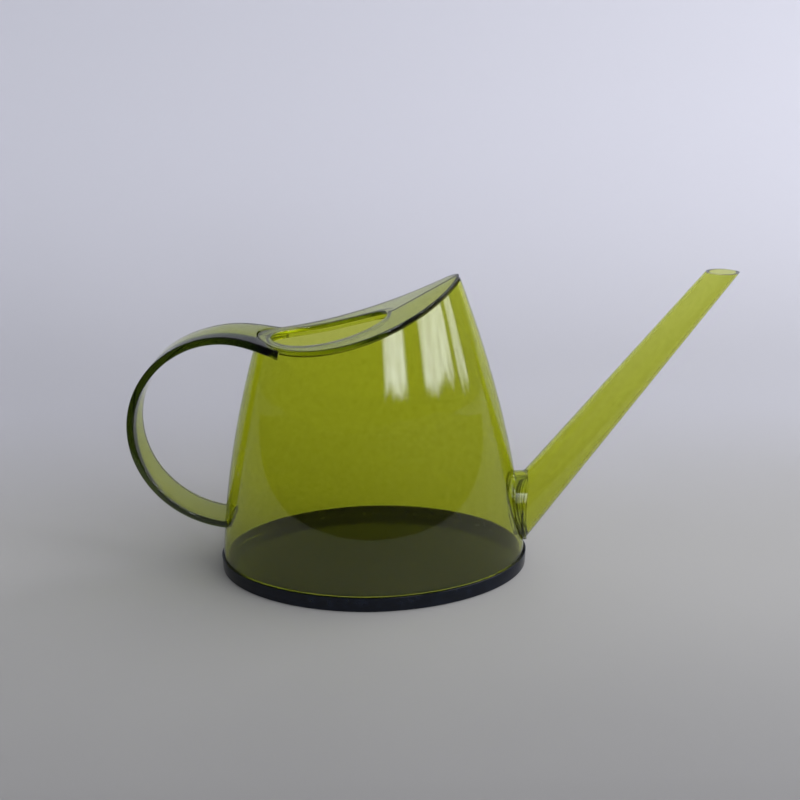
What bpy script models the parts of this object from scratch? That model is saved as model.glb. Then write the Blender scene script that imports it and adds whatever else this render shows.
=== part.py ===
"""Watering can: clear oval body on a dark tray, saddle-shaped cover, strap handle and long spout.

Metres, +Z up, +X towards the spout. The origin is the middle of the tray's underside.
All dimensions below are in millimetres.
"""

import bpy
import numpy as np

MM = 0.001
SHARP_ANGLE = 0.6  # radians; edges that turn more than this stay crisp

# Plan shape: a superellipse |x/a|^POWER + |y/b|^POWER = 1, a little more pointed than an ellipse.
POWER = 1.93
# Half length of the body at height z: LENGTH_0 - LENGTH_1 z - LENGTH_2 z^2 + LENGTH_3 z^3.
LENGTH_0, LENGTH_1, LENGTH_2, LENGTH_3 = 84.0, 0.0743, 1.156e-3, 9.35e-7
# Half width of the body at height z: WIDTH_0 - WIDTH_1 z - WIDTH_2 z^2.
WIDTH_0, WIDTH_1, WIDTH_2 = 48.8, 0.0506, 7.13e-4
# Height of the cover's top at its long edges:
# SADDLE_0 + SADDLE_1 x + SADDLE_2 x^2 + SADDLE_3 x^3 + SADDLE_4 x^4.
SADDLE_0, SADDLE_1, SADDLE_2, SADDLE_3, SADDLE_4 = 138.8, 0.3296, 3.445e-3, 4.34e-6, 3.36e-7

SADDLE_HALF_GUESS, SOLVE_STEPS = 50.0, 80

GAP = 0.3
WALL = 2.1

# Tray
RIM_LENGTH, RIM_WIDTH = 84.4, 49.2
RIM_HEIGHT, RIM_WALL = 8.4, 1.2
FLOOR_THICK = 2.4
FOOT_EDGE, RIM_EDGE = 0.8, 0.3

# Cover
COVER_THICK = 2.4
COVER_EDGE, COVER_LOW_EDGE = 0.7, 0.3
ENVELOPE_INNER, ENVELOPE_RINGS = 0.6, 9
COVER_RING = 4.0  # an extra ring of points this far from the hole
RIDGE_MIDDLE, RIDGE_LEAN, RIDGE_POWER = 1.02, 0.95, 8  # the plate's rise from its long edges
HOLE_X, HOLE_HALF_LENGTH, HOLE_HALF_WIDTH, HOLE_POWER = -19.6, 29.3, 16.6, 2.2
LIP_WALL, LIP_DEPTH, LIP_EDGE = 2.2, 4.4, 0.7

# Handle strap: an arc of LOOP_RADIUS round (LOOP_X, LOOP_Z), then an S bend down to the cover. Towards the
# cover it widens and thickens, so its sides run into the outline of the body.
STRAP_WIDTH, STRAP_THICK, STRAP_EDGE = 19.6, 3.7, 0.7
LOOP_X, LOOP_Z, LOOP_RADIUS = -71.0, 81.4, 52.4
LOOP_STEPS, BEND_STEPS = 59, 18
BEND_X, BEND_REACH = -84.0, 17.0
STRAP_TOP_X, STRAP_TOP_Z, STRAP_TOP_SLOPE, STRAP_TOP_REACH = -43.5, 128.5, -0.26, 14.0
STRAP_LOW_END_X = -76.2
FLARE_X, FLARE_LENGTH, FLARE_WIDTH, FLARE_POWER, FLARE_THICK = -90.0, 45.0, 38.4, 1.6, 0.8
SLOT_POINTS, SLOT_LOW_POINTS, SLOT_LOW_REACH = 10, 10, 6.0
FORK_POINTS, FORK_LOW, FORK_HIGH = 96, 100.0, 160.0  # the upright oval that makes room for the cover's lip
SLOT_CLEAR = 8.0  # the upper slot is this much taller than the strap, so it's open to the cover

# Spout: a round cone between two points on its centre line, cut level at the tip.
SPOUT_ROOT_X, SPOUT_ROOT_Z = 76.4, 25.6
SPOUT_TIP_X, SPOUT_TIP_Z = 175.5, 161.5
SPOUT_ROOT_RADIUS, SPOUT_TIP_RADIUS = 12.57, 6.56
SPOUT_ROOT_WALL, SPOUT_TIP_WALL = 2.0, 1.3

CONE_BEFORE, CONE_AFTER = -14.0, 16.0  # the cone's spare length at its root and tip
BORE_BEFORE, BORE_AFTER = -12.0, 20.0

# Joint of spout and body: an oval collar on the body, and a flange and spigot on the spout.
COLLAR_Z, COLLAR_HALF_HEIGHT, COLLAR_HALF_WIDTH = 33.2, 20.4, 13.2
COLLAR_WALL_SIDE, COLLAR_WALL_TOP = 2.2, 2.6
COLLAR_FACE, FLANGE_THICK = 82.9, 1.5
COLLAR_SINK = 0.05  # where the wall bulges past the collar, the collar stays this far under it
SPIGOT_WALL, SPIGOT_END = 1.7, 77.6
INSIDE_X, OUTSIDE_X = 60.0, 90.0  # clear of the wall on either side
CUT_LOW, CUT_HIGH = -40.0, 120.0  # height of the upright cutters at the joint
TIP_CUT_LOW, TIP_CUT_HIGH = (140.0, -30.0, SPOUT_TIP_Z), (220.0, 30.0, 200.0)
BITE = 0.4  # how far one solid reaches into the next before they are joined or cut

# Plastics: base colour and roughness
GREEN, GREEN_ROUGH = (0.45, 0.5, 0.03), 0.05
NAVY, NAVY_ROUGH = (0.012, 0.018, 0.03), 0.12
STYRENE_IOR, CLEAR_TRANSMISSION = 1.57, 0.9


def half_length(z):
    return LENGTH_0 - LENGTH_1 * z - LENGTH_2 * z**2 + LENGTH_3 * z**3


def half_width(z):
    return WIDTH_0 - WIDTH_1 * z - WIDTH_2 * z**2


def saddle(x):
    return SADDLE_0 + SADDLE_1 * x + SADDLE_2 * x**2 + SADDLE_3 * x**3 + SADDLE_4 * x**4


def signed_power(v, power):
    return np.sign(v) * np.abs(v) ** power


def oval(a, b, count, power=POWER):
    """Plan points of a superellipse of half axes a and b, counter-clockwise."""
    t = np.arange(count) * 2 * np.pi / count
    return a * signed_power(np.cos(t), 2 / power), b * signed_power(np.sin(t), 2 / power)


def clear_scene():
    for thing in list(bpy.data.objects):
        bpy.data.objects.remove(thing, do_unlink=True)


def new_object(name, points, faces):
    mesh = bpy.data.meshes.new(name)
    mesh.from_pydata([tuple(p) for p in np.asarray(points) * MM], [], faces)
    mesh.validate()
    obj = bpy.data.objects.new(name, mesh)
    bpy.context.scene.collection.objects.link(obj)
    return obj


def ring_faces(rings, count, looped):
    """Quads between one ring of points and the next, around and along."""
    faces = []
    for i in range(rings if looped else rings - 1):
        j = (i + 1) % rings
        for k in range(count):
            m = (k + 1) % count
            faces.append((i * count + k, i * count + m, j * count + m, j * count + k))
    return faces


def capped(name, rings):
    """A closed solid from rings of points, the first and last ring filled flat."""
    rings = np.asarray(rings)
    rows, count = rings.shape[:2]
    faces = ring_faces(rows, count, False)
    faces.append(tuple(range(count - 1, -1, -1)))
    faces.append(tuple(range((rows - 1) * count, rows * count)))
    return new_object(name, rings.reshape(-1, 3), faces)


def looped(name, rings):
    """A closed ring-shaped solid: the last ring of points joins the first."""
    rings = np.asarray(rings)
    return new_object(name, rings.reshape(-1, 3), ring_faces(rings.shape[0], rings.shape[1], True))


def combine(target, tool, operation):
    """Add a tool solid to a part or cut it away, then drop the tool."""
    tool.hide_render = True
    tool.display_type = "WIRE"
    modifier = target.modifiers.new(operation.lower(), "BOOLEAN")
    modifier.operation = operation
    modifier.solver = "EXACT"
    modifier.object = tool
    view = bpy.context.evaluated_depsgraph_get()
    mesh = bpy.data.meshes.new_from_object(target.evaluated_get(view))
    target.modifiers.clear()
    old = target.data
    target.data = mesh
    mesh.name = target.name
    bpy.data.meshes.remove(old)
    bpy.data.objects.remove(tool, do_unlink=True)


def give_material(obj, name, clear=True):
    colour, roughness = (GREEN, GREEN_ROUGH) if clear else (NAVY, NAVY_ROUGH)
    material = bpy.data.materials.new(name)
    material.use_nodes = True
    shader = material.node_tree.nodes["Principled BSDF"]
    shader.inputs["Base Color"].default_value = (*colour, 1.0)
    shader.inputs["Roughness"].default_value = roughness
    shader.inputs["IOR"].default_value = STYRENE_IOR
    shader.inputs["Transmission Weight"].default_value = CLEAR_TRANSMISSION if clear else 0.0
    obj.data.materials.clear()
    obj.data.materials.append(material)
    obj.data.shade_smooth()
    obj.data.set_sharp_from_angle(angle=SHARP_ANGLE)


def cylinder_x(a, y):
    """x on the spout side of an upright oval wall of half length a, at a given y."""
    b = a * WIDTH_0 / LENGTH_0
    return a * (1 - np.abs(y / b) ** POWER) ** (1 / POWER)


def wall_x(y, z, inset):
    """x on the spout side of the tapering body wall, inset mm in from its outside."""
    a = half_length(z) - inset
    b = half_width(z) - inset
    return a * (1 - np.abs(y / b) ** POWER) ** (1 / POWER)


def oval_plug(name, half_wide, half_high, inner, outer, count=56, circles=5):
    """A plug along x of oval section round COLLAR_Z; inner and outer give x of its two ends at (y, z)."""
    t = np.arange(count) * 2 * np.pi / count
    radii = np.linspace(1, 0.15, circles)
    y = half_wide * radii[:, None] * np.cos(t)
    z = COLLAR_Z + half_high * radii[:, None] * np.sin(t)
    far = np.stack([outer(y, z), y, z], 2)
    near = np.stack([inner(y, z), y, z], 2)
    return capped(name, np.concatenate([near[::-1], far]))


def upright_oval(name, a, low, high, count=160):
    b = a * WIDTH_0 / LENGTH_0
    x, y = oval(a, b, count)
    return capped(name, [np.stack([x, y, np.full(count, z)], 1) for z in (low, high)])


def box(name, low, high):
    (x0, y0, z0), (x1, y1, z1) = low, high
    rings = [[(x0, y0, z), (x1, y0, z), (x1, y1, z), (x0, y1, z)] for z in (z0, z1)]
    return capped(name, rings)


def make_tray(count=96):
    """A flat floor with an upright rim round it, the floor's edge rounded underneath."""
    # (mm in from the rim's outside, height): out under the floor, up the rim, and down inside it to the floor
    profile = [
        (FOOT_EDGE, 0.0),
        (0.3 * FOOT_EDGE, 0.3 * FOOT_EDGE),
        (0.0, FOOT_EDGE),
        (0.0, RIM_HEIGHT - RIM_EDGE),
        (RIM_EDGE, RIM_HEIGHT),
        (RIM_WALL - RIM_EDGE, RIM_HEIGHT),
        (RIM_WALL, RIM_HEIGHT - RIM_EDGE),
        (RIM_WALL, FLOOR_THICK),
    ]
    rings = []
    for inset, z in profile:
        x, y = oval(RIM_LENGTH - inset, RIM_WIDTH - inset, count)
        rings.append(np.stack([x, y, np.full(count, z)], 1))
    obj = capped("base_tray", rings)
    give_material(obj, "navy_styrene", clear=False)
    return obj


def body_rings(count=96, levels=11):
    """Outside rings from the foot to the cut under the cover, then inside rings back down."""
    foot = FLOOR_THICK + GAP
    ledge = RIM_HEIGHT + GAP
    rebate = RIM_LENGTH - RIM_WALL - GAP
    rebate_wide = RIM_WIDTH - RIM_WALL - GAP
    cx, cy = oval(1.0, 1.0, count)

    def top_height(inset):
        z = np.full(count, SADDLE_0)
        for _ in range(SOLVE_STEPS):
            z = saddle((half_length(z) - inset) * cx) - COVER_THICK - GAP
        return z

    def surface(z, inset):
        return np.stack([(half_length(z) - inset) * cx, (half_width(z) - inset) * cy, z + 0 * cx], 1)

    rings = [
        np.stack([rebate * cx, rebate_wide * cy, np.full(count, foot)], 1),
        np.stack([rebate * cx, rebate_wide * cy, np.full(count, ledge)], 1),
    ]
    top = top_height(0.0)
    for s in np.linspace(0, 1, levels):
        rings.append(surface(ledge + (top - ledge) * s, 0.0))
    top = top_height(WALL)
    for s in np.linspace(1, 0, levels):
        rings.append(surface(foot + (top - foot) * s, WALL))
    return rings


def make_body():
    obj = looped("body_shell", body_rings())
    collar = oval_plug(
        "collar",
        COLLAR_HALF_WIDTH,
        COLLAR_HALF_HEIGHT,
        lambda y, z: wall_x(y, z, 0.5 * WALL),
        lambda y, z: np.maximum(cylinder_x(COLLAR_FACE, y), wall_x(y, z, COLLAR_SINK)),
    )
    combine(obj, collar, "UNION")
    bore = oval_plug(
        "bore",
        COLLAR_HALF_WIDTH - COLLAR_WALL_SIDE,
        COLLAR_HALF_HEIGHT - COLLAR_WALL_TOP,
        lambda y, z: INSIDE_X + 0 * y,
        lambda y, z: OUTSIDE_X + 0 * y,
    )
    combine(obj, bore, "DIFFERENCE")
    for name, end in (("upper_slot", "top"), ("lower_slot", "low")):
        combine(obj, strap(name, GAP, end), "DIFFERENCE")
    give_material(obj, "green_styrene")
    return obj


def strap_line(extra_top=0.0, extra_low=0.0):
    """Centre line of the strap: points and outward normals in the x-z plane, lower end to upper end."""
    low_x = STRAP_LOW_END_X + extra_low
    # angles measured from +x, anticlockwise with z up; the strap runs clockwise from the bottom to the bend
    first = -(np.pi - np.arccos((LOOP_X - low_x) / LOOP_RADIUS))
    crest = np.arccos((BEND_X - LOOP_X) / LOOP_RADIUS) - 2 * np.pi
    turn = np.linspace(first, crest, LOOP_STEPS)
    normals = np.stack([np.cos(turn), np.sin(turn)], 1)
    points = np.array([LOOP_X, LOOP_Z]) + LOOP_RADIUS * normals
    # a cubic from the arc's end, along its tangent, to the top end
    start, tangent = points[-1], np.array([normals[-1][1], -normals[-1][0]])
    end = np.array([STRAP_TOP_X, STRAP_TOP_Z])
    slope = np.array([1, STRAP_TOP_SLOPE]) / np.hypot(1, STRAP_TOP_SLOPE)
    near = start + BEND_REACH * tangent / tangent[0]
    far = end - STRAP_TOP_REACH * slope / slope[0]
    u = np.linspace(0, 1, BEND_STEPS)[1:, None]
    bend = (1 - u) ** 3 * start + 3 * (1 - u) ** 2 * u * near + 3 * (1 - u) * u**2 * far + u**3 * end
    if extra_top:
        bend = np.concatenate([bend, [end + extra_top * slope]])
    along = np.gradient(np.concatenate([points[-2:], bend]), axis=0)[2:]
    along /= np.hypot(along[:, 0], along[:, 1])[:, None]
    points = np.concatenate([points, bend])
    return points, np.concatenate([normals, np.stack([-along[:, 1], along[:, 0]], 1)])


def flare(points):
    """Half width and half thickness of the strap at each point of its centre line."""
    share = np.clip((points[:, 0] - FLARE_X) / FLARE_LENGTH, 0, 1) * (points[:, 1] > LOOP_Z)
    half_w = 0.5 * STRAP_WIDTH + 0.5 * (FLARE_WIDTH - STRAP_WIDTH) * share**FLARE_POWER
    return half_w[:, None], 0.5 * (STRAP_THICK + FLARE_THICK * share)[:, None]


def strap(name, grow=0.0, end=None):
    """The strap as a solid, its long edges rounded. With grow it is a cutter for the slot at one end."""
    points, normals = strap_line(grow if end == "top" else 0.0, SLOT_LOW_REACH if end == "low" else 0.0)
    if end == "top":
        points, normals = points[-SLOT_POINTS:], normals[-SLOT_POINTS:]
    if end == "low":
        points, normals = points[:SLOT_LOW_POINTS], normals[:SLOT_LOW_POINTS]
    half_w, half_t = flare(points)
    half_w, half_t = half_w + grow, half_t + grow
    edge = STRAP_EDGE
    bevel = edge * (1 - np.sqrt(0.5))
    # each corner as the sides of the section it belongs to, and how far it is in from their ends
    sides = np.array([(1, 1)] * 3 + [(-1, 1)] * 3 + [(-1, -1)] * 3 + [(1, -1)] * 3)
    inset = [(0, edge), (bevel, bevel), (edge, 0)]
    insets = np.array(inset + inset[::-1] + inset + inset[::-1])
    across = sides[:, 0] * (half_w - insets[:, 0])
    out = sides[:, 1] * (half_t - insets[:, 1])
    if end == "top":
        out = np.where(out > 0, out + SLOT_CLEAR, out)
    x = points[:, :1] + normals[:, :1] * out
    z = points[:, 1:] + normals[:, 1:] * out
    return capped(name, np.stack([x, across, z], 2))


def make_handle():
    """The strap, its upper end cut to a fork under the cover's plate, either side of the lip."""
    obj = strap("handle_strap")
    reach = LIP_WALL + COVER_EDGE + GAP
    x, y = oval(HOLE_HALF_LENGTH + reach, HOLE_HALF_WIDTH + reach, FORK_POINTS, HOLE_POWER)
    rings = [np.stack([x + HOLE_X, y, np.full_like(x, z)], 1) for z in (FORK_LOW, FORK_HIGH)]
    combine(obj, capped("lip_space", rings), "DIFFERENCE")
    combine(obj, cover_envelope(), "DIFFERENCE")
    give_material(obj, "green_styrene_strap")
    return obj


def cover_ends():
    """x of the two ends of the cover's outline, where the saddle meets the body's outside."""
    ends = []
    for side in (-1, 1):
        x = SADDLE_HALF_GUESS * side
        for _ in range(SOLVE_STEPS):
            x = 0.5 * x + 0.5 * side * half_length(saddle(x))
        ends.append(x)
    return ends


def cover_outline(t, grow=0.0):
    """Plan outline of the cover: the body's outside where it meets the saddle, grown if asked."""
    left, right = cover_ends()
    x = 0.5 * (left + right) + 0.5 * (right - left) * np.cos(t)
    z = saddle(x)
    share = np.clip(1 - np.abs(x / half_length(z)) ** POWER, 0, 1)
    y = np.where(np.abs(np.sin(t)) < 1e-9, 0.0, np.sign(np.sin(t))) * half_width(z) * share ** (1 / POWER)
    if grow:
        dx = np.roll(x, -1) - np.roll(x, 1)
        dy = np.roll(y, -1) - np.roll(y, 1)
        size = np.hypot(dx, dy)
        x, y = x + grow * dy / size, y - grow * dx / size
    return x, y


def crown(x, y):
    """How far the plate stands above its long edges: a straight rise from each edge to a ridge at y = 0."""
    left, right = cover_ends()
    u = (2 * x - left - right) / (right - left)
    ridge = (RIDGE_MIDDLE + RIDGE_LEAN * u) * np.clip(1 - np.abs(u) ** RIDGE_POWER, 0, 1)
    z = saddle(x)
    share = np.clip(1 - np.abs(x / half_length(z)) ** POWER, 1e-9, 1)
    return ridge * np.clip(1 - np.abs(y) / (half_width(z) * share ** (1 / POWER)), 0, 1)


def cover_envelope(count=112):
    """The space the plate takes with its gap, hollow in the middle, for cutting the strap's shoulder."""
    t = np.arange(count) * 2 * np.pi / count
    ox, oy = cover_outline(t, GAP)
    middle = ox.mean()
    rings = []
    low = [(s, -COVER_THICK - GAP) for s in np.linspace(ENVELOPE_INNER, 1, ENVELOPE_RINGS)]
    for size, lift in low + [(1, SLOT_CLEAR), (ENVELOPE_INNER, SLOT_CLEAR)]:
        x = middle + (ox - middle) * size
        rings.append(np.stack([x, oy * size, saddle(x) + lift], 1))
    return looped("envelope", rings)


def make_cover(count=104):
    """A plate of even thickness under the saddle, with a turned-down lip round the fill hole."""
    t = np.arange(count) * 2 * np.pi / count
    ox, oy = cover_outline(t)
    hx, hy = oval(HOLE_HALF_LENGTH, HOLE_HALF_WIDTH, count, HOLE_POWER)
    hx = hx + HOLE_X
    length = np.hypot(ox - hx, oy - hy)
    edge = COVER_EDGE
    lip = LIP_EDGE
    low = COVER_LOW_EDGE
    # (mm out from the hole, mm in from the outline, depth below the saddle); one of the first two is None.
    # It goes down the hole, out under the plate, up the outline, and back over the top.
    profile = [
        (0.0, None, LIP_DEPTH - low),
        (low, None, LIP_DEPTH),
        (LIP_WALL - low, None, LIP_DEPTH),
        (LIP_WALL, None, LIP_DEPTH - low),
        (LIP_WALL, None, COVER_THICK + edge),
        (LIP_WALL + edge, None, COVER_THICK),
        (COVER_RING, None, COVER_THICK),
        (None, low, COVER_THICK),
        (None, 0.0, COVER_THICK - low),
        (None, 0.0, edge),
        (None, 0.3 * edge, 0.3 * edge),
        (None, edge, 0.0),
        (COVER_RING, None, 0.0),
        (lip, None, 0.0),
        (0.3 * lip, None, 0.3 * lip),
        (0.0, None, lip),
    ]
    rings = []
    for from_hole, from_edge, depth in profile:
        share = from_hole / length if from_edge is None else 1 - from_edge / length
        x = hx + (ox - hx) * share
        y = hy + (oy - hy) * share
        rings.append(np.stack([x, y, saddle(x) + crown(x, y) - depth], 1))
    obj = looped("top_cover", rings)
    give_material(obj, "green_styrene_cover")
    return obj


def cone(name, thinner_root, thinner_tip, start, finish, count=72):
    """The spout's cone, a given amount inside its outer surface, over a run of its centre line."""
    run = np.array([SPOUT_TIP_X - SPOUT_ROOT_X, SPOUT_TIP_Z - SPOUT_ROOT_Z])
    length = np.hypot(*run)
    along = run / length
    t = np.arange(count) * 2 * np.pi / count
    rings = []
    for s in (start, 0.0, length, length + finish):
        share = s / length
        centre = np.array([SPOUT_ROOT_X, SPOUT_ROOT_Z]) + along * s
        thinner = thinner_root + (thinner_tip - thinner_root) * share
        radius = SPOUT_ROOT_RADIUS + (SPOUT_TIP_RADIUS - SPOUT_ROOT_RADIUS) * share - thinner
        x = centre[0] - along[1] * radius * np.sin(t)
        z = centre[1] + along[0] * radius * np.sin(t)
        rings.append(np.stack([x, radius * np.cos(t), z], 1))
    return capped(name, rings)


def make_spout():
    """Cone and flange cut to the joint face, then the bore, then a spigot through the body wall."""
    flange_face = COLLAR_FACE + GAP
    flange_end = flange_face + FLANGE_THICK
    obj = cone("spout_tube", 0.0, 0.0, CONE_BEFORE, CONE_AFTER)
    flange = oval_plug(
        "flange",
        COLLAR_HALF_WIDTH,
        COLLAR_HALF_HEIGHT,
        lambda y, z: INSIDE_X + 0 * y,
        lambda y, z: cylinder_x(flange_end, y),
    )
    combine(obj, flange, "UNION")
    combine(obj, upright_oval("root_cut", flange_face, CUT_LOW, CUT_HIGH), "DIFFERENCE")
    combine(obj, box("tip_cut", TIP_CUT_LOW, TIP_CUT_HIGH), "DIFFERENCE")
    bore = cone("bore", SPOUT_ROOT_WALL, SPOUT_TIP_WALL, BORE_BEFORE, BORE_AFTER)
    combine(bore, upright_oval("bore_cut", flange_end - BITE, CUT_LOW, CUT_HIGH), "DIFFERENCE")
    combine(obj, bore, "DIFFERENCE")
    spigot_wide = COLLAR_HALF_WIDTH - COLLAR_WALL_SIDE - GAP
    spigot_high = COLLAR_HALF_HEIGHT - COLLAR_WALL_TOP - GAP
    spigot = oval_plug(
        "spigot",
        spigot_wide,
        spigot_high,
        lambda y, z: cylinder_x(SPIGOT_END, y),
        lambda y, z: cylinder_x(flange_face + BITE, y),
    )
    combine(obj, spigot, "UNION")
    through = oval_plug(
        "through",
        spigot_wide - SPIGOT_WALL,
        spigot_high - SPIGOT_WALL,
        lambda y, z: INSIDE_X + 0 * y,
        lambda y, z: cylinder_x(flange_end + 0.5 * BITE, y),
    )
    combine(obj, through, "DIFFERENCE")
    give_material(obj, "green_styrene_spout")
    return obj


def main():
    clear_scene()
    make_tray()
    make_body()
    make_cover()
    make_handle()
    make_spout()


main()
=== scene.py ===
import math

import bpy
import numpy as np
from mathutils import Euler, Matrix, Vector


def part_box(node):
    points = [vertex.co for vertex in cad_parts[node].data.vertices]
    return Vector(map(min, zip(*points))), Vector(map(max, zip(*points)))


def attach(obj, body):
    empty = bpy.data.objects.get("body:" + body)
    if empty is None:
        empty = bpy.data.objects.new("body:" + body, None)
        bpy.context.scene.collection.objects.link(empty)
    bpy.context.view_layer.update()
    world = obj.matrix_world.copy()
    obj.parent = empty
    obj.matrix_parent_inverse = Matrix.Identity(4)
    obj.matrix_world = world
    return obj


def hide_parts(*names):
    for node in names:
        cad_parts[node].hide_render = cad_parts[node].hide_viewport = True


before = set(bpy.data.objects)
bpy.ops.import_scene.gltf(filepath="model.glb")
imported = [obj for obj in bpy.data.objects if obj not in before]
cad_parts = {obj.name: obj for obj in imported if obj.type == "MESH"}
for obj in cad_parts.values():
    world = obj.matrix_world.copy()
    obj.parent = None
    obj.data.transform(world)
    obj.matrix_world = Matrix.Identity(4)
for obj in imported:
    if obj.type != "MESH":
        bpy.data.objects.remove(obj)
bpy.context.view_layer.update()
mm = 0.001


# sRGB hex to linear
def colour(hexCode):
    parts = [int(hexCode[i : i + 2], 16) / 255 for i in (1, 3, 5)]
    return tuple(p / 12.92 if p <= 0.04045 else ((p + 0.055) / 1.055) ** 2.4 for p in parts)


# Shared shape. Lengths here and below are in mm.
# Plan sections are superellipses |x/a|^power + |y/b|^power = 1.
# Half length and half width fall with height z as polynomials,
# and the cover's top, along its long edges, is the height saddle(x).
trayHigh = np.array(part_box("base_tray")[1]) / mm
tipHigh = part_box("spout_tube")[1][2] / mm
shape = {
    "power": 1.93,
    "lengthTerms": (84.0, -0.0743, -1.156e-3, 9.35e-7),
    "widthTerms": (48.8, -0.0506, -7.13e-4),
    "saddleTerms": (138.8, 0.3296, 3.445e-3, 4.34e-6, 3.36e-7),
    "wall": 2.1,
    "gap": 0.3,
}
around = 288


def polynomial(terms, v):
    return sum(t * v**i for i, t in enumerate(terms))


def halfLength(z):
    return polynomial(shape["lengthTerms"], z)


def halfWidth(z):
    return polynomial(shape["widthTerms"], z)


def saddle(x):
    return polynomial(shape["saddleTerms"], x)


# count angles, evenly round a circle
def angles(count):
    return np.arange(count) * 2 * np.pi / count


# superellipse at angles t, or at that many: a sign(cos t) |cos t|^(2/p), b sign(sin t) |sin t|^(2/p)
def oval(a, b, t, power=None):
    power = power or shape["power"]
    t = angles(t) if isinstance(t, int) else t
    c, s = np.cos(t), np.sin(t)
    s[np.abs(s) < 1e-9] = 0
    return a * np.sign(c) * np.abs(c) ** (2 / power), b * np.sign(s) * np.abs(s) ** (2 / power)


# a grid of points, ring by ring, into a mesh: quads between rings, ends filled or joined in a loop
def gridMesh(name, rings, ends="filled"):
    rings = np.asarray(rings, float)
    rows, count = rings.shape[:2]
    i = np.arange(rows if ends == "looped" else rows - 1)[:, None]
    j = (i + 1) % rows
    k = np.arange(count)[None, :]
    m = (k + 1) % count
    quads = np.stack([i * count + k, i * count + m, j * count + m, j * count + k], 2).reshape(-1, 4)
    faces = quads.tolist()
    if ends == "filled":
        faces.append(list(range(count - 1, -1, -1)))
        faces.append(list(range((rows - 1) * count, rows * count)))
    mesh = bpy.data.meshes.new(name)
    mesh.from_pydata((rings.reshape(-1, 3) * mm).tolist(), [], faces)
    mesh.update()
    obj = bpy.data.objects.new(name, mesh)
    bpy.context.scene.collection.objects.link(obj)
    return obj


# add or cut with an exact Boolean, keep the result as the piece's own mesh, drop the tool
def combine(piece, tool, operation):
    step = piece.modifiers.new("combine", "BOOLEAN")
    step.operation = operation
    step.solver = "EXACT"
    step.object = tool
    view = bpy.context.evaluated_depsgraph_get()
    mesh = bpy.data.meshes.new_from_object(piece.evaluated_get(view))
    piece.modifiers.clear()
    old = piece.data
    piece.data = mesh
    mesh.name = piece.name
    bpy.data.meshes.remove(old)
    bpy.data.objects.remove(tool, do_unlink=True)


def smooth(piece, degrees=32):
    piece.data.shade_smooth()
    piece.data.set_sharp_from_angle(angle=math.radians(degrees))


def node(tree, kind, settings=None, links=None):
    n = tree.nodes.new(kind)
    for key, value in (settings or {}).items():
        if isinstance(key, int) or key in n.inputs:
            n.inputs[key].default_value = value
        else:
            setattr(n, key, value)
    for key, source in (links or {}).items():
        tree.links.new(source, n.inputs[key])
    return n


def newMaterial(name):
    material = bpy.data.materials.new(name)
    material.use_nodes = True
    tree = material.node_tree
    tree.nodes.clear()
    return material, tree


# Clear styrene, injection moulded: deep gloss, a slow waviness from cooling, faint rub marks.
# The green is in the plastic, so thick paths and edges go olive and then near black.
# Density is per metre of path, and each moulding has its own.
clearLook = {
    "ior": 1.57,
    "skin": "#fbfdf4",
    "skinWorn": "#f1f4e2",
    "absorbColour": (0.870, 0.888, 0.02),
    "roughLow": 0.015,
    "roughHigh": 0.06,
    "waveMm": 22.0,
    "waveDepthMm": 0.05,
    "rubMm": 3.0,
}


def clearStyrene(name, waveSeed, density):
    look = clearLook
    material, tree = newMaterial(name)
    place = node(tree, "ShaderNodeTexCoord")
    shift = {"Location": (waveSeed, 0.3 * waveSeed, 0)}
    moved = node(tree, "ShaderNodeMapping", shift, {"Vector": place.outputs["Object"]})
    slow = {"Scale": 1 / (look["waveMm"] * mm), "Detail": 1.5}
    wave = node(tree, "ShaderNodeTexNoise", slow, {"Vector": moved.outputs[0]})
    fine = {"Scale": 1 / (look["rubMm"] * mm), "Detail": 4.0}
    rub = node(tree, "ShaderNodeTexNoise", fine, {"Vector": moved.outputs[0]})
    rough = node(
        tree,
        "ShaderNodeMapRange",
        {"From Min": 0.45, "From Max": 0.8, "To Min": look["roughLow"], "To Max": look["roughHigh"]},
        {"Value": rub.outputs["Fac"]},
    )
    skin = node(tree, "ShaderNodeValToRGB", {}, {"Fac": rub.outputs["Fac"]})
    skin.color_ramp.elements[0].position = 0.4
    skin.color_ramp.elements[0].color = (*colour(look["skin"]), 1)
    skin.color_ramp.elements[1].position = 0.85
    skin.color_ramp.elements[1].color = (*colour(look["skinWorn"]), 1)
    bump = node(
        tree,
        "ShaderNodeBump",
        {"Strength": 1.0, "Distance": look["waveDepthMm"] * mm},
        {"Height": wave.outputs["Fac"]},
    )
    shader = node(
        tree,
        "ShaderNodeBsdfPrincipled",
        {"IOR": look["ior"], "Transmission Weight": 1.0},
        {"Base Color": skin.outputs["Color"], "Roughness": rough.outputs[0], "Normal": bump.outputs[0]},
    )
    dye = {"Color": (*look["absorbColour"], 1), "Density": density}
    inside = node(tree, "ShaderNodeVolumeAbsorption", dye)
    ends = {"Surface": shader.outputs[0], "Volume": inside.outputs[0]}
    node(tree, "ShaderNodeOutputMaterial", {}, ends)
    return material


# Navy styrene, moulded, opaque: nearly black, glossy, a little dust and fine rub marks that show blue.
trayLook = {
    "ior": 1.57,
    "deep": "#070b13",
    "rubbed": "#141b27",
    "specular": 0.2,
    "roughLow": 0.1,
    "roughHigh": 0.22,
    "rubMm": 4.0,
    "sinkMm": 40.0,
    "sinkDepthMm": 0.05,
}


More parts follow.
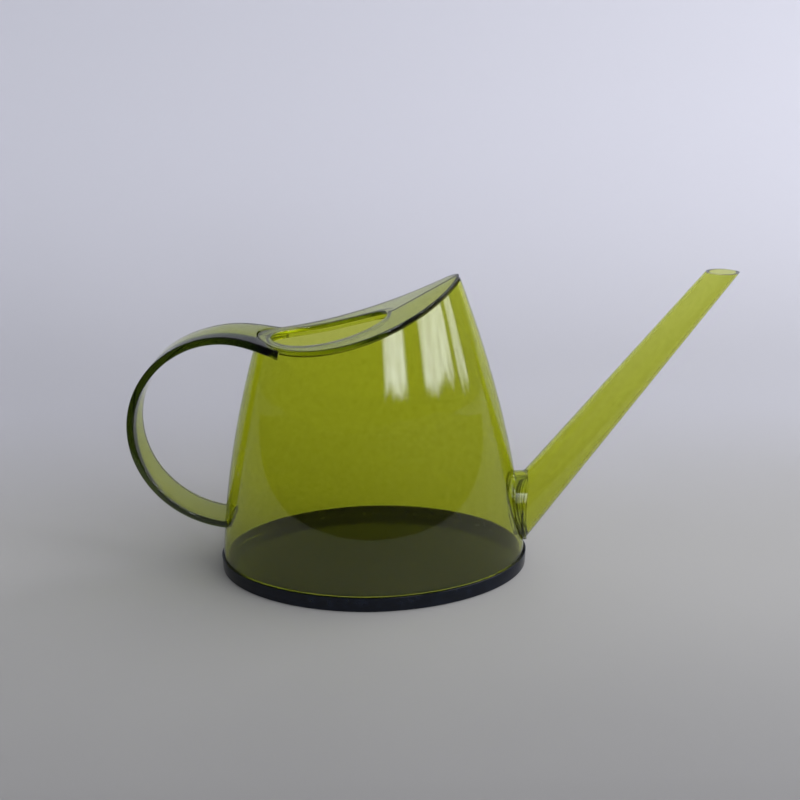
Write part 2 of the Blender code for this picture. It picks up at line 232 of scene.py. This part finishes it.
def navyStyrene(name):
    look = trayLook
    material, tree = newMaterial(name)
    place = node(tree, "ShaderNodeTexCoord")
    fine = {"Scale": 1 / (look["rubMm"] * mm), "Detail": 5.0}
    rub = node(tree, "ShaderNodeTexNoise", fine, {"Vector": place.outputs["Object"]})
    slow = {"Scale": 1 / (look["sinkMm"] * mm), "Detail": 1.0}
    sink = node(tree, "ShaderNodeTexNoise", slow, {"Vector": place.outputs["Object"]})
    tint = node(tree, "ShaderNodeValToRGB", {}, {"Fac": rub.outputs["Fac"]})
    tint.color_ramp.elements[0].position = 0.45
    tint.color_ramp.elements[0].color = (*colour(look["deep"]), 1)
    tint.color_ramp.elements[1].position = 0.9
    tint.color_ramp.elements[1].color = (*colour(look["rubbed"]), 1)
    rough = node(
        tree,
        "ShaderNodeMapRange",
        {"From Min": 0.4, "From Max": 0.8, "To Min": look["roughLow"], "To Max": look["roughHigh"]},
        {"Value": rub.outputs["Fac"]},
    )
    bump = node(
        tree,
        "ShaderNodeBump",
        {"Strength": 1.0, "Distance": look["sinkDepthMm"] * mm},
        {"Height": sink.outputs["Fac"]},
    )
    shader = node(
        tree,
        "ShaderNodeBsdfPrincipled",
        {"IOR": look["ior"], "Specular IOR Level": look["specular"]},
        {"Base Color": tint.outputs["Color"], "Roughness": rough.outputs[0], "Normal": bump.outputs[0]},
    )
    node(tree, "ShaderNodeOutputMaterial", {}, {"Surface": shader.outputs[0]})
    return material


tray = {
    "rimWall": 1.2,
    "floor": 2.4,
    "footEdge": 0.8,
    "rimEdge": 0.3,
    "fillet": 0.6,
    "floorRings": (6.0, 12.0, 24.0),  # in from the outside
    "gate": (-2.0, 4.0, 1.3, 0.7),  # x, y, radius, height
    "gateSides": 24,
    "gateSink": 0.5,
}


# a quarter turn round a corner, as (inset, height) pairs
def corner(inset, height, radius, start, steps=6):
    a = np.radians(start + np.linspace(0, 90, steps))
    return list(zip(inset - radius * np.cos(a), height + radius * np.sin(a)))


# the rim's profile (mm in from its outside, height) carried round the oval, then the floor filled in rings
def makeTray():
    length, width, height = trayHigh
    foot, edge, wall, floor = tray["footEdge"], tray["rimEdge"], tray["rimWall"], tray["floor"]
    fillet, (near, middle, far) = tray["fillet"], tray["floorRings"]
    profile = [(far, 0.0), (middle, 0.0)] + corner(foot, foot, foot, -90) + [(0.0, height * 0.5)]
    profile += corner(edge, height - edge, edge, 0) + corner(wall - edge, height - edge, edge, 90)
    for a in (0, 0.5, 1.0, 1.57):
        profile.append((wall + fillet - fillet * math.cos(a), floor + fillet - fillet * math.sin(a)))
    profile += [(near, floor), (middle, floor), (far, floor)]
    rings = []
    for inset, z in profile:
        x, y = oval(length - inset, width - inset, around)
        rings.append(np.stack([x, y, np.full(around, z)], 1))
    piece = gridMesh("trayMoulding", rings)
    # the small stub where the plastic went in
    gateX, gateY, radius, rise = tray["gate"]
    sides = tray["gateSides"]
    stub = []
    for share, lift in ((1.0, -tray["gateSink"]), (1.0, 0.3 * rise), (0.8, 0.9 * rise), (0.4, rise)):
        x, y = oval(share * radius, share * radius, sides, 2.0)
        stub.append(np.stack([x + gateX, y + gateY, np.full(sides, floor + lift)], 1))
    combine(piece, gridMesh("gate", stub), "UNION")
    return piece


body = {
    "levels": 40,
    "foot": 2.7,
    "ledge": 8.7,
    "rebate": (82.9, 47.7),
    "firstHeight": 140.0,  # where the search for the top edge starts
    "searchSteps": 60,
}
collar = {
    "z": 33.2,
    "halfHeight": 20.4,
    "halfWidth": 13.2,
    "wallSide": 2.2,
    "wallTop": 2.6,
    "sink": 0.05,  # how far the collar stays under a wall that bulges past it
    "face": 82.9,
    "flange": 1.5,
    "spigotWall": 1.7,
    "spigotEnd": 77.6,
    "inside": 60.0,  # x of a cutter's two ends
    "outside": 90.0,
    "bite": 0.4,  # how far one solid runs into the next
}


# height where a wall surface, inset mm in, meets the underside of the cover, by fixed-point steps
def topHeight(cx, inset, below):
    z = np.full_like(cx, body["firstHeight"])
    for _ in range(body["searchSteps"]):
        z = saddle((halfLength(z) - inset) * cx) - below
    return z


# points of the wall at heights z, inset mm in: the unit oval stretched to half length and half width
def bodySurface(cx, cy, z, inset):
    return np.stack([(halfLength(z) - inset) * cx, (halfWidth(z) - inset) * cy, z + 0 * cx], 1)


# outside rings up, then inside rings down, each height a share of the way to the saddle
def bodyRings():
    cx, cy = oval(1.0, 1.0, around)
    foot, ledge = body["foot"], body["ledge"]
    a, b = body["rebate"]
    heights = (foot, 0.5 * (foot + ledge), ledge)
    rings = [np.stack([a * cx, b * cy, np.full(around, z)], 1) for z in heights]
    below = cover["thick"] + shape["gap"]
    rise = np.linspace(0, 1, body["levels"])
    for start, inset, shares in ((ledge, 0.0, rise), (foot, shape["wall"], rise[::-1])):
        top = topHeight(cx, inset, below)
        rings += [bodySurface(cx, cy, start + (top - start) * s, inset) for s in shares]
    return rings


# x on the spout side of an oval: a (1 - |y/b|^p)^(1/p)
def ovalX(a, b, y):
    return a * (1 - np.abs(y / b) ** shape["power"]) ** (1 / shape["power"])


# half width of an upright oval of the tray's proportions
def uprightWidth(a):
    return a * shape["widthTerms"][0] / shape["lengthTerms"][0]


def uprightX(a, y):
    return ovalX(a, uprightWidth(a), y)


def wallX(y, z, inset):
    return ovalX(halfLength(z) - inset, halfWidth(z) - inset, y)


# a plug of oval section along x, each end in rings that follow a curved face
def ovalPlug(name, halfWide, halfHigh, inner, outer, circles=10):
    t = angles(144)
    share = np.linspace(1, 0.1, circles)[:, None]
    y = halfWide * share * np.cos(t)
    z = collar["z"] + halfHigh * share * np.sin(t)
    near = np.stack([inner(y, z), y, z], 2)
    far = np.stack([outer(y, z), y, z], 2)
    return gridMesh(name, np.concatenate([near[::-1], far]))


# an upright solid oval, tall enough to cut the spout's root
def uprightOval(name, a):
    x, y = oval(a, uprightWidth(a), 2 * around)
    return gridMesh(name, [np.stack([x, y, np.full_like(x, z)], 1) for z in (-40, 120)])


def makeBody():
    piece = gridMesh("bodyMoulding", bodyRings(), "looped")
    c = collar
    combine(
        piece,
        ovalPlug(
            "collarPlug",
            c["halfWidth"],
            c["halfHeight"],
            lambda y, z: wallX(y, z, 0.5 * shape["wall"]),
            lambda y, z: np.maximum(uprightX(c["face"], y), wallX(y, z, c["sink"])),
        ),
        "UNION",
    )
    combine(
        piece,
        ovalPlug(
            "collarBore",
            c["halfWidth"] - c["wallSide"],
            c["halfHeight"] - c["wallTop"],
            lambda y, z: c["inside"] + 0 * y,
            lambda y, z: c["outside"] + 0 * y,
        ),
        "DIFFERENCE",
    )
    for end in ("top", "low"):
        combine(piece, strapSolid("slot", shape["gap"], end), "DIFFERENCE")
    return piece


cover = {
    "thick": 2.4,
    "edge": 0.7,
    "hole": (-19.6, 29.3, 16.6, 2.2),  # middle, half length, half width, power
    "lipWall": 2.2,
    "lipDepth": 4.4,
    "lipEdge": 0.8,
    "lipFoot": 0.5,
    "lipFillet": 0.8,
    "band": (4.0, 2.0),  # a flat ring's distance from the hole and from the outline
    "ridge": (1.02, 0.95, 8),
    "seamTurn": 0.008,
    "seamDepth": 0.16,
}


# ends of the outline: x = half length at the saddle's height, by damped steps
def coverEnds():
    ends = []
    for side in (-1, 1):
        x = 50.0 * side  # any start near the end will do
        for _ in range(80):
            x = 0.5 * x + 0.5 * side * halfLength(saddle(x))
        ends.append(x)
    return ends


# half width of the cover at x, where the body's oval meets the saddle
def coverHalfWidth(x, least):
    z = saddle(x)
    share = np.clip(1 - np.abs(x / halfLength(z)) ** shape["power"], least, 1)
    return halfWidth(z) * share ** (1 / shape["power"])


# x runs as a cosine between the ends, y is the half width there; grown outwards along the normal
def coverOutline(t, grow=0.0):
    left, right = coverEnds()
    x = 0.5 * (left + right) + 0.5 * (right - left) * np.cos(t)
    side = np.where(np.abs(np.sin(t)) < 1e-9, 0.0, np.sign(np.sin(t)))
    y = side * coverHalfWidth(x, 0)
    if grow:
        dx, dy = np.roll(x, -1) - np.roll(x, 1), np.roll(y, -1) - np.roll(y, 1)
        size = np.hypot(dx, dy)
        x, y = x + grow * dy / size, y - grow * dx / size
    return x, y


# the space that the cover takes from the strap: its outline a gap larger, its underside a gap lower
def coverEnvelope():
    ox, oy = coverOutline(angles(around), shape["gap"])
    middle = ox.mean()
    inner, above = 0.6, 8
    sizes = [(s, -cover["thick"] - shape["gap"]) for s in np.linspace(inner, 1, 25)]
    sizes += [(1, above), (inner, above)]
    rings = []
    for size, lift in sizes:
        x = middle + (ox - middle) * size
        rings.append(np.stack([x, oy * size, saddle(x) + lift], 1))
    return gridMesh("envelope", rings, "looped")


# The plate rises straight from each long edge to a ridge at y = 0,
# as high as (c + d u)(1 - |u|^8) along its length, u from -1 to 1.
def crown(x, y):
    left, right = coverEnds()
    u = (2 * x - left - right) / (right - left)
    middle, lean, power = cover["ridge"]
    ridge = (middle + lean * u) * np.clip(1 - np.abs(u) ** power, 0, 1)
    return ridge * np.clip(1 - np.abs(y) / coverHalfWidth(x, 1e-9), 0, 1)


# section from the hole to the outline, (mm from hole or None, mm from outline, depth),
# swept round between the two ovals
def makeCover():
    seam = cover["seamTurn"]
    besideSeam = [seam, np.pi - seam, np.pi + seam, 2 * np.pi - seam]
    t = np.sort(np.concatenate([angles(around), besideSeam]))
    ox, oy = coverOutline(t)
    holeX, holeLong, holeWide, holePower = cover["hole"]
    hx, hy = oval(holeLong, holeWide, t, holePower)
    hx = hx + holeX
    run = np.hypot(ox - hx, oy - hy)
    thick, edge, lip, lipWall, deep = (cover[k] for k in ("thick", "edge", "lipEdge", "lipWall", "lipDepth"))
    low, fillet, (bandHole, bandEdge) = cover["lipFoot"], cover["lipFillet"], cover["band"]
    turn = np.radians(np.linspace(0, 90, 6))
    section = [(low - low * math.cos(a), None, deep - low + low * math.sin(a)) for a in turn]
    section += [(lipWall - low + low * math.sin(a), None, deep - low + low * math.cos(a)) for a in turn]
    lipOut, plateLow = lipWall + fillet, thick + fillet
    section += [(lipOut - fillet * math.cos(a), None, plateLow - fillet * math.sin(a)) for a in turn]
    section += [(bandHole, None, thick), (None, bandEdge, thick)]
    section += [(None, edge - edge * math.sin(a), thick - edge + edge * math.cos(a)) for a in turn]
    section += [(None, edge - edge * math.cos(a), edge - edge * math.sin(a)) for a in turn]
    section += [(None, bandEdge, 0.0), (bandHole, None, 0.0)]
    section += [(lip - lip * math.sin(a), None, lip - lip * math.cos(a)) for a in turn]
    rings = []
    for fromHole, fromEdge, depth in section:
        share = fromHole / run if fromEdge is None else 1 - fromEdge / run
        x, y = hx + (ox - hx) * share, hy + (oy - hy) * share
        # a fine V along the ridge, above and below
        notch = np.where(np.abs(y) < 1e-6, cover["seamDepth"], 0) * (1 if depth > 0.5 * thick else -1)
        rings.append(np.stack([x, y, saddle(x) + crown(x, y) - depth + notch], 1))
    return gridMesh("coverMoulding", rings, "looped")


strap = {
    "width": 19.6,
    "thick": 3.7,
    "edge": 0.7,
    "loop": (-71.0, 81.4, 52.4),  # middle x and z, radius
    "bend": (-84.0, 17.0),  # where the arc ends, and how far its direction is held
    "top": (-43.5, 128.5, -0.26, 14.0),  # x, z and slope of the upper end, and how far the slope is held
    "low": -76.2,
    "flare": (-90.0, 45.0, 38.4, 1.6, 0.8),  # start, length, width reached, power, thickness gained
    "loopSteps": 160,
    "bendSteps": 50,
    "topPoints": 28,
    "lowPoints": 26,
    "lowReach": 6.0,  # the lower slot's cutter runs this far on
    "openAbove": 8.0,  # the upper slot's cutter stands this far up
    "forkSides": 120,
    "forkSpan": (100.0, 160.0),
}


# Centre line: an arc round the loop, then a cubic down to the cover. Normals point outwards.
def strapLine(extraTop, extraLow):
    loopX, loopZ, loopRadius = strap["loop"]
    bendX, bendReach = strap["bend"]
    topX, topZ, topSlope, topReach = strap["top"]
    first = -(math.pi - math.acos((loopX - strap["low"] - extraLow) / loopRadius))
    crest = math.acos((bendX - loopX) / loopRadius) - 2 * math.pi
    turn = np.linspace(first, crest, strap["loopSteps"])
    normals = np.stack([np.cos(turn), np.sin(turn)], 1)
    points = np.array([loopX, loopZ]) + loopRadius * normals
    start, end = points[-1], np.array([topX, topZ])
    near = start + bendReach * np.array([1, -normals[-1][0] / normals[-1][1]])
    far = end - topReach * np.array([1, topSlope])
    u = np.linspace(0, 1, strap["bendSteps"])[1:, None]
    v = 1 - u
    bend = v**3 * start + 3 * v**2 * u * near + 3 * v * u**2 * far + u**3 * end
    if extraTop:
        bend = np.concatenate([bend, [end + extraTop * np.array([1, topSlope])]])
    along = np.gradient(np.concatenate([points[-2:], bend]), axis=0)[2:]
    along /= np.hypot(along[:, 0], along[:, 1])[:, None]
    points = np.concatenate([points, bend])
    return points, np.concatenate([normals, np.stack([-along[:, 1], along[:, 0]], 1)])


# A rounded rectangle carried along the centre line, wider and thicker towards the cover.
# Grown, and open above, one end of it is the slot's cutter.
def strapSolid(name, grow=0.0, end=None):
    points, normals = strapLine(grow if end == "top" else 0.0, strap["lowReach"] if end == "low" else 0.0)
    if end == "top":
        points, normals = points[-strap["topPoints"] :], normals[-strap["topPoints"] :]
    if end == "low":
        points, normals = points[: strap["lowPoints"]], normals[: strap["lowPoints"]]
    flareX, flareLength, flareWidth, flarePower, flareThick = strap["flare"]
    share = np.clip((points[:, :1] - flareX) / flareLength, 0, 1) * (points[:, 1:] > strap["loop"][1])
    width = strap["width"] + (flareWidth - strap["width"]) * share**flarePower
    halfW = 0.5 * width + grow
    halfT = 0.5 * (strap["thick"] + flareThick * share) + grow
    a = np.radians(np.linspace(0, 90, 6))
    inset = np.stack([1 - np.cos(a), 1 - np.sin(a)], 1) * strap["edge"]
    insets = np.concatenate([inset, inset[::-1]] * 2)
    sides = np.repeat([(1, 1), (-1, 1), (-1, -1), (1, -1)], len(a), axis=0)
    across = sides[:, 0] * (halfW - insets[:, 0])
    out = sides[:, 1] * (halfT - insets[:, 1])
    if end == "top":
        out = np.where(out > 0, out + strap["openAbove"], out)
    x = points[:, :1] + normals[:, :1] * out
    z = points[:, 1:] + normals[:, 1:] * out
    return gridMesh(name, np.stack([x, across, z], 2))


# the strap's upper end is cut to a fork either side of the lip, under the cover's plate
def makeStrap():
    piece = strapSolid("strapMoulding")
    holeX, holeLong, holeWide, holePower = cover["hole"]
    reach = cover["lipWall"] + cover["edge"] + shape["gap"]
    x, y = oval(holeLong + reach, holeWide + reach, strap["forkSides"], holePower)
    rings = [np.stack([x + holeX, y, np.full_like(x, z)], 1) for z in strap["forkSpan"]]
    combine(piece, gridMesh("lipSpace", rings), "DIFFERENCE")
    combine(piece, coverEnvelope(), "DIFFERENCE")
    return piece


spout = {
    "root": (76.4, 25.6),
    "tip": (175.5, 161.5),
    "rootRadius": 12.57,
    "tipRadius": 6.56,
    "rootWall": 2.0,
    "tipWall": 1.3,
    "spare": (-14.0, 16.0),  # how far the cone runs past its two ends before it is cut
    "boreSpare": (-12.0, 20.0),
    "flangeStart": 62.0,
    "turn": 0.37,
}


# Round cone between two centres, thinned by a wall that changes along it.
# It is turned by part of a facet, so that its edges miss the flange's.
def coneSolid(name, rootWall, tipWall, spare):
    count = 190
    start, finish = spare
    s = spout
    root, tip = np.array(s["root"]), np.array(s["tip"])
    length = np.hypot(*(tip - root))
    along = (tip - root) / length
    t = (np.arange(count) + s["turn"]) * 2 * np.pi / count
    rings = []
    for d in (start, 0.0, length, length + finish):
        share = d / length
        thinner = rootWall + (tipWall - rootWall) * share
        radius = s["rootRadius"] + (s["tipRadius"] - s["rootRadius"]) * share - thinner
        centre = root + along * d
        x = centre[0] - along[1] * radius * np.sin(t)
        z = centre[1] + along[0] * radius * np.sin(t)
        rings.append(np.stack([x, radius * np.cos(t), z], 1))
    return gridMesh(name, rings)


def makeSpout():
    c, s = collar, spout
    face = c["face"] + shape["gap"]
    flangeEnd = face + c["flange"]
    piece = coneSolid("spoutMoulding", 0.0, 0.0, s["spare"])
    flange = ovalPlug(
        "flange",
        c["halfWidth"],
        c["halfHeight"],
        lambda y, z: s["flangeStart"] + 0 * y,
        lambda y, z: uprightX(flangeEnd, y),
    )
    combine(piece, flange, "UNION")
    combine(piece, uprightOval("rootCut", face), "DIFFERENCE")
    lid = [[(140, -30, z), (220, -30, z), (220, 30, z), (140, 30, z)] for z in (tipHigh, 200)]
    combine(piece, gridMesh("tipCut", lid), "DIFFERENCE")
    bore = coneSolid("bore", s["rootWall"], s["tipWall"], s["boreSpare"])
    combine(bore, uprightOval("boreCut", flangeEnd - c["bite"]), "DIFFERENCE")
    combine(piece, bore, "DIFFERENCE")
    wide = c["halfWidth"] - c["wallSide"] - shape["gap"]
    high = c["halfHeight"] - c["wallTop"] - shape["gap"]
    spigot = ovalPlug(
        "spigot", wide, high, lambda y, z: uprightX(c["spigotEnd"], y), lambda y, z: uprightX(face + 0.5, y)
    )
    combine(piece, spigot, "UNION")
    through = ovalPlug(
        "through",
        wide - c["spigotWall"],
        high - c["spigotWall"],
        lambda y, z: c["inside"] + 0 * y,
        lambda y, z: uprightX(flangeEnd + 0.5 * c["bite"], y),
    )
    combine(piece, through, "DIFFERENCE")
    return piece


def finishPiece(piece, cadNode, material):
    smooth(piece)
    piece.data.materials.clear()
    piece.data.materials.append(material)
    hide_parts(cadNode)
    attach(piece, "root")
    print("made", piece.name, len(piece.data.polygons), "faces")


finishPiece(makeTray(), "base_tray", navyStyrene("navyStyreneMoulded"))
finishPiece(makeBody(), "body_shell", clearStyrene("greenStyreneBody", 0.0, 900.0))
finishPiece(makeCover(), "top_cover", clearStyrene("greenStyreneCover", 0.31, 1000.0))
finishPiece(makeStrap(), "handle_strap", clearStyrene("greenStyreneStrap", 0.57, 1250.0))
finishPiece(makeSpout(), "spout_tube", clearStyrene("greenStyreneSpout", 0.83, 740.0))


# Sizes in metres. The paper's colour carries painted light: greyer and darker where it lies, paler and a
# little lilac where it rises, as light from above and behind would make it.
stage = {
    "half": 2.6,
    "back": 0.95,
    "front": -1.6,
    "bend": 0.6,
    "height": 1.9,
    "near": -0.2,
    "far": 0.8,
    "mottle": 0.05,
    "paintedLightTints": [(0.0, "#9c9b97"), (1.0, "#c9c9ce"), (0.2, "#b3b2ac"), (0.45, "#c2c2c4")],
}


# a floor that bends up into a wall: flat, then a quarter circle, then upright
def makeStage():
    s = stage
    a = np.radians(np.linspace(0, 90, 24))
    y = np.concatenate([[s["front"], 0.0], s["back"] - s["bend"] + s["bend"] * np.sin(a), [s["back"]]])
    z = np.concatenate([[0.0, 0.0], s["bend"] - s["bend"] * np.cos(a), [s["height"]]])
    x = np.linspace(-s["half"], s["half"], 3)
    points = np.stack(np.broadcast_arrays(x[None, :], y[:, None], z[:, None]), 2).reshape(-1, 3)
    i, k = np.meshgrid(np.arange(len(y) - 1), np.arange(2), indexing="ij")
    faces = np.stack([i * 3 + k, i * 3 + k + 1, i * 3 + k + 4, i * 3 + k + 3], 2).reshape(-1, 4)
    mesh = bpy.data.meshes.new("sweep")
    mesh.from_pydata(points.tolist(), [], faces.tolist())
    mesh.shade_smooth()
    obj = bpy.data.objects.new("sweep", mesh)
    bpy.context.scene.collection.objects.link(obj)
    material, tree = newMaterial("mattePaperSweep")
    place = node(tree, "ShaderNodeTexCoord")
    split = node(tree, "ShaderNodeSeparateXYZ", {}, {"Vector": place.outputs["Object"]})
    patches = {"Scale": 7.0, "Detail": 3.0}
    mottle = node(tree, "ShaderNodeTexNoise", patches, {"Vector": place.outputs["Object"]})
    spread = {"operation": "MULTIPLY_ADD", 1: s["mottle"], 2: -0.5 * s["mottle"]}
    cloud = node(tree, "ShaderNodeMath", spread, {0: mottle.outputs["Fac"]})
    # painted light: the colour runs from darker grey on the floor in front to pale lilac up the wall, with a
    # little random mottle
    reach = {"From Min": s["near"], "From Max": s["far"]}
    depth = node(tree, "ShaderNodeMapRange", reach, {"Value": split.outputs["Y"]})
    where = node(tree, "ShaderNodeMath", {"operation": "ADD"}, {0: depth.outputs[0], 1: cloud.outputs[0]})
    tint = node(tree, "ShaderNodeValToRGB", {}, {"Fac": where.outputs[0]})
    ramp = tint.color_ramp
    ramp.interpolation = "EASE"
    for i, (share, hexCode) in enumerate(s["paintedLightTints"]):
        stop = ramp.elements[i] if i < 2 else ramp.elements.new(share)
        stop.position = share
        stop.color = (*colour(hexCode), 1)
    paper = {"Roughness": 0.85}
    shader = node(tree, "ShaderNodeBsdfPrincipled", paper, {"Base Color": tint.outputs["Color"]})
    node(tree, "ShaderNodeOutputMaterial", {}, {"Surface": shader.outputs[0]})
    mesh.materials.append(material)


# soft light from high on the right: where it stands and aims and its two sides in metres, watts, tint
softLight = {
    "place": (1.5, 0.1, 1.5),
    "target": (0.0, 0.35, 0.1),
    "size": (2.0, 1.6),
    "power": 31,
    "tint": "#f6f6ff",
}


def makeSoftLight():
    data = bpy.data.lights.new("highRight", "AREA")
    data.shape = "RECTANGLE"
    data.size, data.size_y = softLight["size"]
    data.energy = softLight["power"]
    data.color = colour(softLight["tint"])
    obj = bpy.data.objects.new("highRight", data)
    bpy.context.scene.collection.objects.link(obj)
    obj.location = softLight["place"]
    direction = np.array(softLight["target"]) - np.array(softLight["place"])
    yaw = math.atan2(direction[0], direction[1])
    pitch = math.atan2(direction[2], math.hypot(direction[0], direction[1]))
    obj.rotation_euler = Euler((math.pi / 2 + pitch, 0, -yaw), "XYZ")


# a black card low in front paints dark reflections in the gloss, standing in for the shade of the room in
# front; the camera doesn't see it and it casts no shadow; sizes in metres
card = {"half": 1.2, "near": (-0.16, 0.001), "far": (-1.25, 0.06), "black": (0.012, 0.012, 0.012, 1)}


def makeCard():
    side = card["half"]
    corners = [(-side, *card["near"]), (side, *card["near"]), (side, *card["far"]), (-side, *card["far"])]
    mesh = bpy.data.meshes.new("blackCard")
    mesh.from_pydata(corners, [], [(0, 1, 2, 3)])
    obj = bpy.data.objects.new("blackCard", mesh)
    bpy.context.scene.collection.objects.link(obj)
    material, tree = newMaterial("darkReflectionCard")
    shader = node(tree, "ShaderNodeBsdfPrincipled", {"Base Color": card["black"], "Roughness": 0.9})
    node(tree, "ShaderNodeOutputMaterial", {}, {"Surface": shader.outputs[0]})
    mesh.materials.append(material)
    # painted reflection: only glossy rays see the card
    obj.visible_camera = False
    obj.visible_diffuse = False
    obj.visible_transmission = False
    obj.visible_shadow = False


# Three tall windows behind the eye, soft at their edges: azimuth from the front, half width,
# low edge and high edge, all in degrees, and strength.
windows = [(15.5, 8.0, 2.6, 26.0, 9.0), (46.0, 14.0, 2.6, 26.0, 8.0), (69.0, 7.0, 1.0, 26.0, 6.0)]
room = {
    "front": 0.05,
    "back": 0.5,
    "lightSide": (0.15, 0.6, 0.75),  # the room grows lighter this way
    "fromTo": (-0.45, 0.85),
    "wall": 0.62,
    "tint": "#e6e8f2",
    "soft": 1.6,  # degrees either side of a window's edge
    "ragged": 5.0,  # degrees, leaves at the sill and head
    "leaves": 14.0,
    "patchy": (1.4, 0.3),
}


def makeRoom():
    world = bpy.data.worlds.new("room")
    bpy.context.scene.world = world
    world.use_nodes = True
    tree = world.node_tree
    tree.nodes.clear()
    place = node(tree, "ShaderNodeTexCoord")
    ray = place.outputs["Generated"]
    split = node(tree, "ShaderNodeSeparateXYZ", {}, {"Vector": ray})
    x, y, z = split.outputs
    # the room is dark in front, where the eye stands, and light above and behind
    way = {"operation": "DOT_PRODUCT", 1: room["lightSide"]}
    facing = node(tree, "ShaderNodeVectorMath", way, {0: ray})
    near, far = room["fromTo"]
    span = {"From Min": near, "From Max": far, "To Min": room["front"], "To Max": room["back"]}
    base = node(tree, "ShaderNodeMapRange", span, {"Value": facing.outputs["Value"]})
    back = node(tree, "ShaderNodeMath", {"operation": "MULTIPLY", 1: -1.0}, {0: y})
    turn = node(tree, "ShaderNodeMath", {"operation": "ARCTAN2"}, {0: x, 1: back.outputs[0]})
    azimuth = node(tree, "ShaderNodeMath", {"operation": "DEGREES"}, {0: turn.outputs[0]})
    lift = node(tree, "ShaderNodeMath", {"operation": "ARCSINE"}, {0: z})
    height = node(tree, "ShaderNodeMath", {"operation": "DEGREES"}, {0: lift.outputs[0]})
    speckle = {"Scale": room["leaves"], "Detail": 4.0}
    leaves = node(tree, "ShaderNodeTexNoise", speckle, {"Vector": ray})
    halfRagged = {"operation": "SUBTRACT", 1: 0.5 * room["ragged"]}
    level = node(tree, "ShaderNodeMath", halfRagged, {0: height.outputs[0]})
    ragged = node(
        tree,
        "ShaderNodeMath",
        {"operation": "MULTIPLY_ADD", 1: room["ragged"]},
        {0: leaves.outputs["Fac"], 2: level.outputs[0]},
    )
    gain, least = room["patchy"]
    uneven = node(
        tree, "ShaderNodeMath", {"operation": "MULTIPLY_ADD", 1: gain, 2: least}, {0: leaves.outputs["Fac"]}
    )
    total = base
    soft = room["soft"]
    for middle, half, low, high, power in windows:
        off = node(tree, "ShaderNodeMath", {"operation": "SUBTRACT", 1: middle}, {0: azimuth.outputs[0]})
        aside = node(tree, "ShaderNodeMath", {"operation": "ABSOLUTE"}, {0: off.outputs[0]})
        pane = uneven
        for value, start, end in (
            (aside, half, half - 2 * soft),
            (ragged, low - soft, low + soft),
            (ragged, high + soft, high - soft),
        ):
            fade = {"interpolation_type": "SMOOTHSTEP", "From Min": start, "From Max": end}
            edge = node(tree, "ShaderNodeMapRange", fade, {"Value": value.outputs[0]})
            pane = node(
                tree, "ShaderNodeMath", {"operation": "MULTIPLY"}, {0: pane.outputs[0], 1: edge.outputs[0]}
            )
        total = node(
            tree,
            "ShaderNodeMath",
            {"operation": "MULTIPLY_ADD", 1: power},
            {0: pane.outputs[0], 2: total.outputs[0]},
        )
    # past the sweep's edges there is a plain pale wall; reflections and shade keep the room
    path = node(tree, "ShaderNodeLightPath")
    direct = {0: path.outputs["Is Camera Ray"], 1: path.outputs["Is Transmission Ray"]}
    seen = node(tree, "ShaderNodeMath", {"operation": "MAXIMUM"}, direct)
    change = node(tree, "ShaderNodeMath", {"operation": "SUBTRACT", 0: room["wall"]}, {1: total.outputs[0]})
    mixed = {0: seen.outputs[0], 1: change.outputs[0], 2: total.outputs[0]}
    strength = node(tree, "ShaderNodeMath", {"operation": "MULTIPLY_ADD"}, mixed)
    tone = {"Color": (*colour(room["tint"]), 1)}
    tint = node(tree, "ShaderNodeBackground", tone, {"Strength": strength.outputs[0]})
    node(tree, "ShaderNodeOutputWorld", {}, {"Surface": tint.outputs[0]})


# where the eye stands, in mm from the middle of the tray, and how it is turned, in degrees
camera = {
    "place": (11.9, -409.5, 261.8),
    "pan": 0.51,
    "down": 21.99,
    "roll": -0.82,
    "lens": 38.25,
    "sensor": 36.0,
    "nearest": 0.01,
}


def makeCamera():
    data = bpy.data.cameras.new("eye")
    data.lens = camera["lens"]
    data.sensor_width = camera["sensor"]
    data.clip_start = camera["nearest"]
    obj = bpy.data.objects.new("eye", data)
    bpy.context.scene.collection.objects.link(obj)
    turn = Euler((0, 0, -math.radians(camera["pan"]))).to_matrix()
    tilt = Euler((math.radians(90 - camera["down"]), 0, 0)).to_matrix()
    roll = Euler((0, 0, math.radians(camera["roll"]))).to_matrix()
    obj.rotation_euler = (turn @ tilt @ roll).to_euler()
    obj.location = np.array(camera["place"]) * mm
    bpy.context.scene.camera = obj


makeStage()
makeCard()
makeSoftLight()
makeRoom()
makeCamera()
bpy.context.scene.view_settings.view_transform = "Standard"
print("stage, light and camera set")
